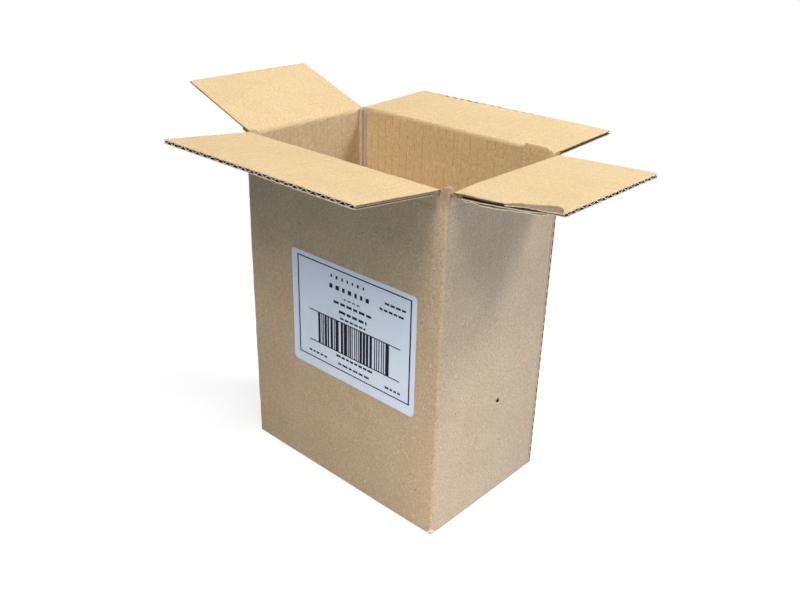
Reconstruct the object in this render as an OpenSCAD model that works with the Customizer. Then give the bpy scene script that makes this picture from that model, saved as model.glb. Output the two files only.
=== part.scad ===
// Corrugated shipping box standing open, with four hinged top flaps and a paper label.
// Millimetres, +Z up, base on Z = 0, labelled long side towards -Y.

/* [Box] */
// Outside length, along the labelled side
box_length = 160; // [140:1:400]
// Outside width, along the short sides
box_width = 102; // [70:1:300]
// Height of the short-side creases above the base
crease_height = 212; // [170:1:400]
// Thickness of the corrugated board
board_thickness = 2.8; // [2.2:0.1:3.6]
// Radius of the folded upright corners
corner_radius = 2; // [1:0.1:5]
// Radius of the folds along the bottom edges
bottom_fold_radius = 1.2; // [0.6:0.1:2.7]
// How far the corners stand above the long-side creases
corner_rise = 1.2; // [0.2:0.1:4]

/* [Flutes] */
// Length of one wave of the fluted paper
flute_pitch = 6.5; // [4:0.1:9]
// Thickness of each liner sheet
liner_thickness = 0.35; // [0.2:0.05:0.5]
// Thickness of the fluted paper
medium_thickness = 0.3; // [0.2:0.05:0.5]
// Length of board pressed solid beside each crease
crush_length = 6; // [5:0.5:12]

/* [Top flaps] */
// Length of the short-side flaps, crease to free edge
flap_length = 61.5; // [40:0.5:66]
// Corner to the front flap's left side
front_left_inset = 4; // [3.6:0.1:9]
// Corner to the front flap's right side
front_right_inset = 6; // [3.6:0.1:9]
// Corner to the back flap's left side
back_left_inset = 3.8; // [3.6:0.1:9]
// Corner to the back flap's right side
back_right_inset = 3.6; // [3.6:0.1:9]
// Angle of the front flap above level
front_tilt = 6; // [0:0.5:40]
// Angle of the back flap above level
back_tilt = 2.5; // [0:0.5:40]
// Angle of the left flap above level
left_tilt = 20; // [0:0.5:40]
// Angle of the right flap above level
right_tilt = 3; // [0:0.5:40]
// Gap between wall and flap at the crease line
crease_gap = 0.3; // [0.2:0.05:0.6]
// Gap between a flap's side and the board beside it
side_clearance = 0.4; // [0.3:0.05:0.8]
// Gap between closed flaps that lie on each other
stack_clearance = 0.4; // [0.3:0.05:0.8]

/* [Torn side of the right flap] */
// How far the near side runs in towards the free edge
torn_inset = 4.4; // [1:0.1:8]
// Width of the strip that has lost its inner liner
tear_width = 9.2; // [1:0.1:14]

/* [Glue tab] */
// Width of the tab along the back wall
tab_width = 21.2; // [12:0.1:40]
// Thickness of the pressed tab
tab_thickness = 1.4; // [0.8:0.1:2]
// Radius of the fold from the right wall into the tab
joint_fold_radius = 1.8; // [0.8:0.1:2.2]
// Depth of the open flute along the back wall's raw end
raw_end_depth = 2; // [0.5:0.1:4]

/* [Bottom flaps] */
// Gap where the two long bottom flaps meet
seam_gap = 0.6; // [0.4:0.1:3]

/* [Label] */
// Length of the label
label_length = 101.6; // [40:0.1:104]
// Height of the label
label_height = 76.2; // [30:0.1:120]
// Corner radius of the label
label_radius = 3; // [1:0.1:8]
// Thickness of the label
label_thickness = 0.15; // [0.1:0.05:0.3]
// Distance from the box's middle to the label's middle
label_offset = 11.9; // [-20:0.1:20]
// Height of the label's middle above the base
label_mid_height = 113.5; // [70:0.1:130]

/* [Puncture] */
// Radius of the small hole in the right wall
puncture_radius = 1.1; // [0.4:0.1:2]
// Depth of the hole
puncture_depth = 1.2; // [0.5:0.1:2]
// Distance of the hole from the wall's middle
puncture_offset = 6.5; // [-30:0.1:30]
// Height of the hole above the base
puncture_height = 69.2; // [20:0.1:150]

/* [Hidden] */
// Depth of the short-side creases below the outer face, as a share of the board
crease_depth_share = 0.21;
// Turn outwards from upright that each crease has room for
open_turn = 132;
// Turn inwards from upright that each crease has room for
close_turn = 94;
// Share of a wave at each side of a bond that stays closed
bond_share = 0.1;
// Straight steps along one flute
flute_steps = 8;
// Where along the flap the lost liner starts, is widest and ends
tear_shares = [0.5, 0.6, 0.7, 0.8, 0.87, 0.94, 0.985];
// Width of the lost liner at those places
tear_width_shares = [0, 0.38, 0.54, 0.82, 1, 0.8, 0.2];
// Sides of the small hole
puncture_sides = 8;
// Reach of cuts past the faces they cut
overrun = 2;

crease_step = (board_thickness + stack_clearance) / 2;
short_depth = board_thickness * crease_depth_share;
long_depth = short_depth + crease_step;
long_crease_height = crease_height + crease_step;
long_flap_length = flap_length - crease_step;
corner_height = long_crease_height + corner_rise;
tab_height = crease_height + short_depth;
inner_length = box_length - 2 * board_thickness;
inner_width = box_width - 2 * board_thickness;
short_inset = board_thickness + side_clearance;
tab_inset = board_thickness + tab_thickness + side_clearance;
open_half_angle = (180 - open_turn) / 2;
close_half_angle = (180 - close_turn) / 2;
flute_swing = (board_thickness - 2 * liner_thickness - medium_thickness) / 2;

front_insets = [front_left_inset, front_right_inset];
right_insets = [short_inset, tab_inset];
back_insets = [back_right_inset, back_left_inset];
left_insets = [short_inset, short_inset];

// Taper of the pressed board towards the crease line, on the outer and on the inner side
function outer_taper(depth) = depth / tan(open_half_angle);
function inner_taper(depth) = (board_thickness - depth) / tan(close_half_angle);

// Middle line of the fluted paper, measured from the crease line
function wave(u, depth) =
    board_thickness / 2 - depth + flute_swing * cos(360 * u / flute_pitch);

// Steps across one open cell between the two bonds that close it
function cell_u(i) =
    flute_pitch * ((i / flute_steps) * (1 - 2 * bond_share) + bond_share - 1 / 2);

module rounded_rect(l, w, r) {
    square([l - 2 * r, w], center = true);
    square([l, w - 2 * r], center = true);
    for (x = [-1, 1], y = [-1, 1])
        translate([x * (l / 2 - r), y * (w / 2 - r)]) circle(r, $fn = 48);
}

// Runs a profile drawn in Y and Z along X, from one side inset to the other
module along(span, insets) {
    translate([insets[0] - span / 2, 0, 0])
        rotate([90, 0, 90])
            linear_extrude(span - insets[0] - insets[1]) children();
}

// Puts a piece drawn for the front onto a side: outwards is -Y, its outer face at Y = 0
module on_side(turn, reach) {
    rotate([0, 0, turn]) translate([0, -reach / 2, 0]) children();
}
module on_front() { on_side(0, box_width) children(); }
module on_back() { on_side(180, box_width) children(); }
module on_right() { on_side(90, box_length) children(); }
module on_left() { on_side(-90, box_length) children(); }

// Room above a wall between two corners, down to its pressed crease
module crease_room(span, insets, depth, height) {
    along(span, [insets[0] - side_clearance, insets[1] - side_clearance])
        polygon([
            [-overrun, height - outer_taper(depth)],
            [0, height - outer_taper(depth)],
            [depth, height - crease_gap / 2],
            [board_thickness, height - inner_taper(depth)],
            [board_thickness + side_clearance, height - inner_taper(depth)],
            [board_thickness + side_clearance, corner_height + overrun],
            [-overrun, corner_height + overrun],
        ]);
}

// Waste outside a rounded bottom fold, seen from the end
module fold_waste() {
    difference() {
        translate([-overrun, -overrun])
            square([bottom_fold_radius + overrun, bottom_fold_radius + overrun]);
        translate([bottom_fold_radius, bottom_fold_radius])
            circle(bottom_fold_radius, $fn = 48);
    }
}

// Plan of the walls: three folded corners, and the glued corner with its raw board end
module wall_plan() {
    difference() {
        union() {
            rounded_rect(box_length, box_width, corner_radius);
            translate([box_length / 2 - corner_radius, inner_width / 2])
                square([corner_radius, board_thickness]);
        }
        square([inner_length, inner_width], center = true);
        translate([box_length / 2 - joint_fold_radius, inner_width / 2 - joint_fold_radius])
            difference() {
                square([joint_fold_radius + overrun, joint_fold_radius]);
                circle(joint_fold_radius, $fn = 48);
            }
        translate([box_length / 2 - raw_end_depth, inner_width / 2 + liner_thickness])
            difference() {
                square([raw_end_depth + overrun, board_thickness - 2 * liner_thickness]);
                translate([0, flute_swing])
                    square([raw_end_depth, medium_thickness]);
            }
    }
}

module glue_tab() {
    translate([
        inner_length / 2 - tab_width,
        inner_width / 2 - tab_thickness,
        board_thickness,
    ])
        cube([
            tab_width + board_thickness / 2,
            tab_thickness + board_thickness / 2,
            tab_height - board_thickness,
        ]);
}

// Two long bottom flaps outside, with the two short ones glued on their inner faces
module bottom_flaps() {
    plate_length = box_length - 2 * short_inset;
    seam = max(long_flap_length - box_width / 2, 0);
    translate([-plate_length / 2, (board_thickness - box_width) / 2, 0])
        cube([plate_length, seam + (box_width - board_thickness) / 2, board_thickness]);
    translate([-plate_length / 2, seam + seam_gap, 0])
        cube([
            plate_length,
            (box_width - board_thickness) / 2 - seam - seam_gap,
            board_thickness,
        ]);
    for (turn = [0, 180])
        rotate([0, 0, turn])
            translate([
                (board_thickness - box_length) / 2,
                short_inset - box_width / 2,
                board_thickness,
            ])
                cube([
                    flap_length - board_thickness / 2,
                    box_width - 2 * short_inset,
                    board_thickness,
                ]);
}

// The gap under each short wall, where the ends of the long bottom flaps show
module short_wall_foot() {
    along(box_width, [short_inset, short_inset]) {
        translate([-overrun, -overrun])
            square([short_inset + overrun, board_thickness + overrun]);
        translate([0, board_thickness]) fold_waste();
    }
}

module puncture() {
    translate([puncture_offset, puncture_depth, puncture_height])
        rotate([90, 0, 0])
            for (side = [-1, 1])
                translate([side * puncture_radius / 2, side * puncture_radius / 2, 0])
                    cylinder(
                        h = puncture_depth + overrun,
                        r = puncture_radius,
                        $fn = puncture_sides
                    );
}

module carton_body() {
    color("BurlyWood")
        difference() {
            union() {
                linear_extrude(corner_height) wall_plan();
                glue_tab();
                bottom_flaps();
            }
            on_front() crease_room(box_length, front_insets, long_depth, long_crease_height);
            on_back() crease_room(box_length, back_insets, long_depth, long_crease_height);
            on_left() crease_room(box_width, left_insets, short_depth, crease_height);
            on_right() crease_room(box_width, right_insets, short_depth, crease_height);
            on_front() along(box_length, [-overrun, -overrun]) fold_waste();
            on_back() along(box_length, [-overrun, -overrun]) fold_waste();
            on_left() short_wall_foot();
            on_right() short_wall_foot();
            on_right() puncture();
        }
}

// Open cells on both sides of the fluted paper, running up the flap from the pressed root
module flute_cells(span, depth, length) {
    outer_level = liner_thickness - depth;
    inner_level = board_thickness - liner_thickness - depth;
    count = ceil(span / flute_pitch);
    for (k = [0:count])
        translate([k * flute_pitch - span / 2, 0, crush_length])
            linear_extrude(length - crush_length + overrun) {
                polygon([
                    [cell_u(0), outer_level],
                    for (i = [1:flute_steps - 1])
                        [cell_u(i), wave(cell_u(i), depth) - medium_thickness / 2],
                    [cell_u(flute_steps), outer_level],
                ]);
                translate([flute_pitch / 2, 0])
                    polygon([
                        [cell_u(0), inner_level],
                        for (i = [1:flute_steps - 1])
                            [
                                cell_u(i),
                                wave(cell_u(i) + flute_pitch / 2, depth) + medium_thickness / 2,
                            ],
                        [cell_u(flute_steps), inner_level],
                    ]);
            }
}

// One upright flap with its crease line on the X axis
module flap_board(span, insets, depth, length) {
    difference() {
        along(span, insets)
            polygon([
                [-depth, length],
                [-depth, outer_taper(depth)],
                [0, crease_gap / 2],
                [board_thickness - depth, inner_taper(depth)],
                [board_thickness - depth, length],
            ]);
        flute_cells(span, depth, length);
    }
}

// Sets an upright flap on its crease and leans it outwards
module on_crease(depth, height, tilt) {
    translate([0, depth, height]) rotate([90 - tilt, 0, 0]) children();
}

// Board lost from the near side of the right flap, and the strip of inner liner beside it
module torn_side() {
    start = short_inset - box_width / 2;
    translate([0, board_thickness, 0])
        rotate([90, 0, 0])
            linear_extrude(2 * board_thickness)
                polygon([
                    [start - overrun, 0],
                    [start, 0],
                    [start + torn_inset, flap_length],
                    [start + torn_inset, flap_length + overrun],
                    [start - overrun, flap_length + overrun],
                ]);
    translate([0, board_thickness - short_depth + overrun, 0])
        rotate([90, 0, 0])
            linear_extrude(overrun + liner_thickness + medium_thickness / 2)
                polygon([
                    for (i = [0:len(tear_shares) - 1])
                        [
                            start + torn_inset * tear_shares[i] + tear_width * tear_width_shares[i],
                            flap_length * tear_shares[i],
                        ],
                    [start + torn_inset, flap_length * tear_shares[len(tear_shares) - 1]],
                    [start - overrun, flap_length * tear_shares[len(tear_shares) - 1]],
                    [start - overrun, flap_length * tear_shares[0]],
                ]);
}

module front_flap() {
    color("NavajoWhite")
        on_front()
            on_crease(long_depth, long_crease_height, front_tilt)
                flap_board(box_length, front_insets, long_depth, long_flap_length);
}

module back_flap() {
    color("NavajoWhite")
        on_back()
            on_crease(long_depth, long_crease_height, back_tilt)
                flap_board(box_length, back_insets, long_depth, long_flap_length);
}

module left_flap() {
    color("NavajoWhite")
        on_left()
            on_crease(short_depth, crease_height, left_tilt)
                flap_board(box_width, left_insets, short_depth, flap_length);
}

module right_flap() {
    color("NavajoWhite")
        on_right()
            on_crease(short_depth, crease_height, right_tilt)
                difference() {
                    flap_board(box_width, right_insets, short_depth, flap_length);
                    torn_side();
                }
}

module label() {
    color("White")
        translate([label_offset, -box_width / 2, label_mid_height])
            rotate([90, 0, 0])
                linear_extrude(label_thickness)
                    rounded_rect(label_length, label_height, label_radius);
}

carton_body();
front_flap();
back_flap();
left_flap();
right_flap();
label();
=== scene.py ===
"""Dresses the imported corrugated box: fluted board flaps, folded creases, walls, label and studio."""

import math

import bpy
import numpy as np
from mathutils import Matrix, Vector


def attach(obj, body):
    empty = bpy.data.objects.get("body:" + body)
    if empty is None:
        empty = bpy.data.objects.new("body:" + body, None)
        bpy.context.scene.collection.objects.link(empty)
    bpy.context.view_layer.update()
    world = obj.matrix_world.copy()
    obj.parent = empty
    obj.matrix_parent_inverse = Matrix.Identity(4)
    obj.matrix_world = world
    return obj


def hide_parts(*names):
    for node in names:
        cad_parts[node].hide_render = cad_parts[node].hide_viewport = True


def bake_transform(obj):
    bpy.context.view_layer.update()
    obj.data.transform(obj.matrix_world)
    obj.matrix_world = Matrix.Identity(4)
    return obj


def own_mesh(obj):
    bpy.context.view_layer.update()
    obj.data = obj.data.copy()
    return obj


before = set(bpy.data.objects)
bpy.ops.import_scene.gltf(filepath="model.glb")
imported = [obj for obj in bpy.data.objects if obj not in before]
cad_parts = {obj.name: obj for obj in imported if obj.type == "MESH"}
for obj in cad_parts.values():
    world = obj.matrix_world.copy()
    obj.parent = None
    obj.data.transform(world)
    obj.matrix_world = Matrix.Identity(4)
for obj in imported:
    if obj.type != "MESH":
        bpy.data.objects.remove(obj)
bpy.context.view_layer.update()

# Sizes in millimetres, as in the solids
MM = 0.001
IN_MM = 1000.0
HALF_L = 80.0
HALF_W = 51.0
T = 2.8
LINER = 0.35
MEDIUM = 0.28
PITCH = 6.5
CORNER_R = 2.0
SHORT_Q = 0.588
LONG_Q = 2.188
SHORT_H = 212.0
LONG_H = 213.6
SHORT_F = 61.5
LONG_F = 59.9
RIM = 206.0        # where the walls end and the creases begin
ROOT = 6.0         # where the creases end and the fluted flaps begin
BEAD = 4.6         # the creased corners' raised inner fold
FOLD_R = 1.2
OUTER_FOLD_R = 0.8
FOOT = 0.5         # the short walls' fold stops just above the floor
TAB_X0 = 56.0
TAB_T = 1.4
TAB_TOP = 212.5
LIP_TOP = 216.4
SEAM_Y = 8.9
HOLE_U, HOLE_Z = 6.5, 69.2
HOLES = ((0.0, -0.35, 1.2), (0.6, 0.75, 0.7))   # the puncture's two lobes: along, up, radius
HOLE_NARROW, HOLE_SLANT = 0.75, 0.34
RIB = 0.085        # how deep a liner sinks between two flutes
PRESSED_RUN = 6.0  # how far in from its side a flap's pressed side reaches
BEAD_RUN = 14      # how far from a corner its raised fold is felt along the wall
NEAR_FOOT = (79.0, -50.0, 0.0)
RIM_SHADE_HEIGHTS = (200.0, 213.0)   # heights between which painted shade darkens the walls' tops and torn corners under the flaps


# Noise and small helpers

TABLES = {}


def noise(x, seed, cell):
    """Smooth one-dimensional noise from -1 to 1."""
    if seed not in TABLES:
        TABLES[seed] = np.random.default_rng(seed).uniform(-1, 1, 512)
    table = TABLES[seed]
    x = np.asarray(x, float) / cell
    i = np.floor(x).astype(int)
    f = x - i
    f = f * f * (3 - 2 * f)
    return table[i % 512] * (1 - f) + table[(i + 1) % 512] * f


def smooth(a, b, x):
    t = np.clip((np.asarray(x, float) - a) / (b - a), 0, 1)
    return t * t * (3 - 2 * t)


def fade(reach, distance):
    """1 at no distance, down to 0 at reach."""
    return 1 - smooth(0, reach, distance)


def link(obj):
    bpy.context.scene.collection.objects.link(obj)
    return obj


def make(name, parts, materials, smooth_angle=40):
    """One mesh object from parts, each (points in mm, faces, index of material for each face)."""
    points, faces, slots = [], [], []
    base = 0
    for p, f, m in parts:
        p = np.asarray(p, float).reshape(-1, 3)
        points.append(p)
        faces += [tuple(i + base for i in face) for face in f]
        slots += list(m) if not isinstance(m, int) else [m] * len(f)
        base += len(p)
    mesh = bpy.data.meshes.new(name)
    mesh.from_pydata((np.concatenate(points) * MM).tolist(), [], faces)
    for m in materials:
        mesh.materials.append(m)
    mesh.polygons.foreach_set("material_index", np.array(slots, np.int32))
    mesh.polygons.foreach_set("use_smooth", np.ones(len(faces), bool))
    mesh.update()
    mesh.set_sharp_from_angle(angle=math.radians(smooth_angle))
    return link(bpy.data.objects.new(name, mesh))


def grid_quads(rows, cols, base=0, flip=False, wrap=False):
    out = []
    span = cols if wrap else cols - 1
    for r in range(rows - 1):
        for c in range(span):
            d = (c + 1) % cols
            q = (base + r * cols + c, base + r * cols + d, base + (r + 1) * cols + d, base + (r + 1) * cols + c)
            out.append(q[::-1] if flip else q)
    return out


def slab(top, bottom, top_slot, bottom_slot, edge_slot):
    """A closed sheet from two grids of points, rows by columns, with its four edges.
    edge_slot is one index, or four for the first row, last column, last row and first column."""
    rows, cols = top.shape[:2]
    n = rows * cols
    points = np.concatenate([top.reshape(-1, 3), bottom.reshape(-1, 3)])
    faces = grid_quads(rows, cols)
    slots = [top_slot] * len(faces)
    under = grid_quads(rows, cols, n, True)
    faces += under
    slots += [bottom_slot] * len(under)
    ring = (
        list(range(cols))
        + [r * cols + cols - 1 for r in range(1, rows)]
        + [(rows - 1) * cols + c for c in range(cols - 2, -1, -1)]
        + [r * cols for r in range(rows - 2, 0, -1)]
    )
    for a, b in zip(ring, ring[1:] + ring[:1]):
        faces.append((b, a, a + n, b + n))
    four = (edge_slot,) * 4 if isinstance(edge_slot, int) else edge_slot
    for slot, count in zip(four, (cols - 1, rows - 1, cols - 1, rows - 1)):
        slots += [slot] * count
    return points, faces, slots


# Materials

X, Y, Z = 0, 1, 2


def new_material(name):
    m = bpy.data.materials.new(name)
    m.use_nodes = True
    return m, m.node_tree, m.node_tree.nodes["Principled BSDF"]


def put(node, values):
    for name, v in values.items():
        node.inputs[name].default_value = v


class Graph:
    """Short calls for the nodes of one material or world."""

    def __init__(self, tree):
        self.tree = tree

    def node(self, kind, **values):
        n = self.tree.nodes.new(kind)
        for k, v in values.items():
            setattr(n, k, v)
        return n

    def wire(self, a, b):
        self.tree.links.new(a, b)

    def coords(self, scale):
        c = self.node("ShaderNodeTexCoord")
        m = self.node("ShaderNodeMapping")
        put(m, {"Scale": scale})
        self.wire(c.outputs["Object"], m.inputs["Vector"])
        return m.outputs["Vector"]

    def even_noise(self, scale, detail=2.0, rough=0.5):
        return self.noise((scale, scale, scale), detail, rough)

    def noise(self, scale, detail=2.0, rough=0.5):
        n = self.node("ShaderNodeTexNoise")
        put(n, {"Scale": 1.0, "Detail": detail, "Roughness": rough})
        self.wire(self.coords(scale), n.inputs["Vector"])
        return n.outputs["Fac"]

    def axis(self, i, scale=IN_MM):
        """One coordinate of the object, in millimetres unless another scale is given."""
        s = self.node("ShaderNodeSeparateXYZ")
        self.wire(self.coords((scale, scale, scale)), s.inputs[0])
        return s.outputs[i]

    def ramp(self, value, low, high, to_low=0.0, to_high=1.0):
        r = self.node("ShaderNodeMapRange", interpolation_type="SMOOTHSTEP")
        put(r, {"From Min": low, "From Max": high, "To Min": to_low, "To Max": to_high})
        self.wire(value, r.inputs["Value"])
        return r.outputs["Result"]

    def math(self, op, a, b=0.0):
        n = self.node("ShaderNodeMath", operation=op)
        for i, v in enumerate((a, b)):
            if isinstance(v, (int, float)):
                n.inputs[i].default_value = v
            else:
                self.wire(v, n.inputs[i])
        return n.outputs["Value"]

    def mix(self, factor, a, b, blend="MIX"):
        n = self.node("ShaderNodeMix", data_type="RGBA", blend_type=blend)
        for socket, v in ((n.inputs[0], factor), (n.inputs[6], a), (n.inputs[7], b)):
            if isinstance(v, (int, float)):
                socket.default_value = v
            elif isinstance(v, tuple):
                socket.default_value = (*v, 1.0)
            else:
                self.wire(v, socket)
        return n.outputs[2]

    def far(self, a, b):
        """The length of two steps at right angles."""
        return self.math("SQRT", self.math("ADD", self.math("MULTIPLY", a, a), self.math("MULTIPLY", b, b)))

    def bump(self, height, strength, distance, shader):
        n = self.node("ShaderNodeBump")
        put(n, {"Strength": strength, "Distance": distance})
        self.wire(height, n.inputs["Height"])
        self.wire(n.outputs["Normal"], shader.inputs["Normal"])


def stretched(across, along, axis):
    """A noise's scale, with a value of its own along one axis."""
    return [along if i == axis else across for i in range(3)]


def wall_wear(g, colour, dark):
    """The puncture with its painted dark bottom, the near corner's worn foot, and painted shade on the walls'
    tops and torn corners under the flaps.
    """
    # painted shade: the puncture's bottom is coloured near black for the dark between the liners
    right_half = g.ramp(g.axis(X), 0.0, 1.0)
    for du, dz, r in HOLES:
        y = g.math("SUBTRACT", g.axis(Y), HOLE_U + du)
        z = g.math("SUBTRACT", g.axis(Z), HOLE_Z + dz)
        z = g.math("ADD", z, g.math("MULTIPLY", y, HOLE_SLANT))
        d = g.far(g.math("MULTIPLY", y, HOLE_NARROW), z)
        spot = g.math("MULTIPLY", g.ramp(d, r * 1.1, r * 0.85, 0.0, 0.98), right_half)
        colour = g.mix(spot, colour, (0.014, 0.009, 0.007))
    # the near corner's foot is worn pale, with dark specks
    x, y, z = (g.math("SUBTRACT", g.axis(i), v) for i, v in enumerate(NEAR_FOOT))
    d = g.math("ADD", g.math("ABSOLUTE", y), g.math("MULTIPLY", z, 1.3))
    d = g.math("ADD", g.math("ABSOLUTE", x), d)
    worn = g.math("ADD", d, g.math("MULTIPLY", g.even_noise(520, 2.0, 0.6), 7.0))
    colour = g.mix(g.ramp(worn, 10.5, 7.5, 0.0, 0.85), colour, (0.93, 0.80, 0.64))
    specks = g.math("ADD", d, g.math("MULTIPLY", g.even_noise(760, 1.0), 16.0))
    colour = g.mix(g.ramp(specks, 10.0, 8.5, 0.0, 0.8), colour, (0.20, 0.10, 0.06))
    # painted shade: the walls' outside darkens towards the rim, on their tops and torn corners, where the flaps
    # shade them
    darker = tuple(c * 0.55 for c in dark)
    return g.mix(g.ramp(g.axis(Z), *RIM_SHADE_HEIGHTS, 0.0, 0.55), colour, darker)


def kraft(name, base, dark, light, flute_axis, rib_axis=None, rib=0.0, speck=1.0, relief=1.0,
          wall=False, blotch=0.2):
    """Kraft liner: mottled pulp, short fibres, thin broken lines over the flutes, dark and pale specks.
    A wall's outside also gets the puncture's painted dark bottom, the worn foot of its near corner and painted
    shade towards its rim."""
    m, tree, shader = new_material(name)
    g = Graph(tree)
    pulp = g.even_noise(38, 3.0, 0.55)
    grain = g.even_noise(1000, 2.0, 0.65)
    threads = g.noise(stretched(1300, 400, flute_axis), 2.0, 0.55)
    streaks = g.noise(stretched(330, 14, flute_axis))
    mottle = g.even_noise(310, 3.0, 0.6)
    colour = g.mix(g.ramp(pulp, 0.32, 0.68, 0.2, 0.8), dark, light)
    colour = g.mix(0.68, colour, base)
    colour = g.mix(g.ramp(streaks, 0.5, 0.75, 0.0, 0.16), colour, dark)
    colour = g.mix(g.ramp(mottle, 0.50, 0.36, 0.0, 0.6 * blotch), colour, dark)
    colour = g.mix(g.ramp(mottle, 0.50, 0.64, 0.0, 0.55 * blotch), colour, light)
    colour = g.mix(g.ramp(threads, 0.50, 0.68, 0.0, 0.85), colour, light)
    colour = g.mix(g.ramp(grain, 0.32, 0.52, 0.95, 0.0), colour, dark)
    if rib_axis is not None:
        # a thin darker line over each flute, broken along its length
        sway = g.math("MULTIPLY", g.even_noise(30, 1.0), 0.35)
        place = g.math("FRACT", g.math("ADD", g.axis(rib_axis, IN_MM / PITCH), sway))
        off = g.math("ABSOLUTE", g.math("SUBTRACT", place, 0.5))
        broken = g.ramp(g.noise(stretched(260, 190, flute_axis), 2.0, 0.6), 0.38, 0.62)
        line = g.math("MULTIPLY", g.ramp(off, 0.06, 0.01), broken)
        colour = g.mix(g.math("MULTIPLY", line, rib), colour, tuple(c * 0.62 for c in dark))
    spots = g.even_noise(620, 1.0)
    deep = tuple(c * 0.45 for c in dark)
    colour = g.mix(g.ramp(spots, 0.255, 0.205, 0.0, 0.75 * speck), colour, deep)
    flecks = g.noise((500, 510, 505), 1.0)
    pale = tuple(min(1.0, c * 1.22 + 0.05) for c in light)
    colour = g.mix(g.ramp(flecks, 0.76, 0.81, 0.0, 0.7 * speck), colour, pale)
    if wall:
        colour = wall_wear(g, colour, dark)
    g.wire(colour, shader.inputs["Base Color"])
    g.wire(g.ramp(grain, 0.3, 0.7, 0.80, 0.95), shader.inputs["Roughness"])
    put(shader, {"Specular IOR Level": 0.15})
    height = g.math("ADD", g.math("MULTIPLY", grain, 0.6), g.math("MULTIPLY", threads, 0.4))
    g.bump(height, 0.5 * relief, 0.00015, shader)
    return m


# Colours: base, dark and light
INSIDE = ((0.698, 0.530, 0.302), (0.578, 0.420, 0.228), (0.778, 0.610, 0.376))
# painted light: the walls' inner faces use copies of the inner liner, the long walls' brighter to make up for
# the shade inside the box, the short walls' tuned to how the light falls on them
INSIDE_LONG = ((0.77, 0.58, 0.333), (0.633, 0.459, 0.25), (0.853, 0.664, 0.413))
INSIDE_SHORT = ((0.675, 0.525, 0.327), (0.557, 0.415, 0.246), (0.752, 0.601, 0.407))
# painted light: the outside has two tinted copies, the long sides' warmer for the warmer light on the front,
# the short sides' bluer for the bluer light on the right
OUTSIDE = ((0.654, 0.462, 0.282), (0.497, 0.34, 0.193), (0.78, 0.591, 0.395))
OUTSIDE_SHORT = ((0.645, 0.465, 0.310), (0.490, 0.342, 0.212), (0.77, 0.595, 0.434))
# partly painted shade: the fluted paper's own brown, darkened further so that the board's hollows and sides
# read dark
FLUTE = ((0.30, 0.20, 0.115), (0.22, 0.145, 0.08), (0.38, 0.27, 0.165))
# painted shade: a near-black kraft for the liners' hidden faces and the gaps in the board, standing in for the
# shade inside the flutes
GAP_SHADE = ((0.17, 0.115, 0.07), (0.12, 0.08, 0.048), (0.22, 0.155, 0.10))
FOLD = ((0.69, 0.57, 0.45), (0.57, 0.45, 0.345), (0.77, 0.65, 0.54))
EDGE = ((0.91, 0.77, 0.56), (0.67, 0.51, 0.34), (0.97, 0.88, 0.71))
SIDE = ((0.48, 0.355, 0.215), (0.33, 0.23, 0.13), (0.62, 0.48, 0.31))
PRESSED = ((0.22, 0.15, 0.09), (0.14, 0.095, 0.055), (0.42, 0.31, 0.19))
BARE = ((0.30, 0.205, 0.135), (0.21, 0.14, 0.085), (0.39, 0.285, 0.20))
flap_inside = {
    X: kraft("kraft_inside_short", *INSIDE, X, Y, 0.22),
    Y: kraft("kraft_inside_long", *INSIDE, Y, X, 0.22),
}
flap_outside = {
    X: kraft("kraft_outside_short", *OUTSIDE_SHORT, X),
    Y: kraft("kraft_outside_long", *OUTSIDE, Y),
}
flute = [kraft(f"kraft_flute_{a}", *FLUTE, i, speck=0.4) for i, a in enumerate("xyz")]
wall_outside = kraft("kraft_wall_outside", *OUTSIDE, Z, wall=True, blotch=0.22)
wall_outside_short = kraft("kraft_wall_outside_short", *OUTSIDE_SHORT, Z, wall=True, blotch=0.22)
wall_inside_long = kraft("kraft_wall_inside_long", *INSIDE_LONG, Z, X, 0.65, 0.6, blotch=0.7)
wall_inside_short = kraft("kraft_wall_inside_short", *INSIDE_SHORT, Z, Y, 0.45, 0.6, blotch=0.7)
# painted shade for the gaps inside the board and the cut end's teeth
between = kraft("kraft_gap_shade", *GAP_SHADE, Z, speck=0.3)
pressed_end = kraft("kraft_pressed_end", *PRESSED, Z, speck=0.5, relief=1.6, blotch=0.8)
side_edge = kraft("kraft_side_edge", *SIDE, Z, speck=0.5, relief=1.6)
cut_edge = kraft("kraft_cut_edge", *EDGE, Z, speck=0.5, relief=1.6)
bare_flute = kraft("kraft_bare_flute", *BARE, X, speck=0.6, relief=1.4)
inner_fold = kraft("kraft_inner_fold", *FOLD, Z, speck=0.5)


def paper(name):
    """Label stock: cool white, faint fibre and a smooth face; its white is partly painted light, bluer and
    brighter for the bluish light on the front wall.
    """
    m, tree, shader = new_material(name)
    g = Graph(tree)
    cloud = g.even_noise(45, 3.0, 0.6)
    grain = g.even_noise(1500, 2.0, 0.6)
    # partly painted light: a bluish, bright white standing in for the light on the front wall
    colour = g.mix(g.ramp(cloud, 0.3, 0.7), (0.855, 0.89, 1.0), (0.895, 0.92, 1.0))
    colour = g.mix(g.ramp(grain, 0.25, 0.45, 0.25, 0.0), colour, (0.77, 0.80, 0.95))
    g.wire(colour, shader.inputs["Base Color"])
    g.wire(g.ramp(cloud, 0.3, 0.7, 0.5, 0.6), shader.inputs["Roughness"])
    put(shader, {"Specular IOR Level": 0.2})
    g.bump(grain, 0.12, 0.00008, shader)
    return m


def ink(name):
    """Thermal print: near black, with thin patches."""
    m, tree, shader = new_material(name)
    g = Graph(tree)
    thin = g.even_noise(900, 2.0, 0.6)
    colour = g.mix(g.ramp(thin, 0.58, 0.78, 0.0, 0.5), (0.012, 0.013, 0.022), (0.07, 0.075, 0.10))
    g.wire(colour, shader.inputs["Base Color"])
    put(shader, {"Roughness": 0.6, "Specular IOR Level": 0.1})
    return m


label_paper = paper("label_paper")
label_ink = ink("label_ink")


# Sides of the box: where each flap turns, and which way it leans


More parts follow.
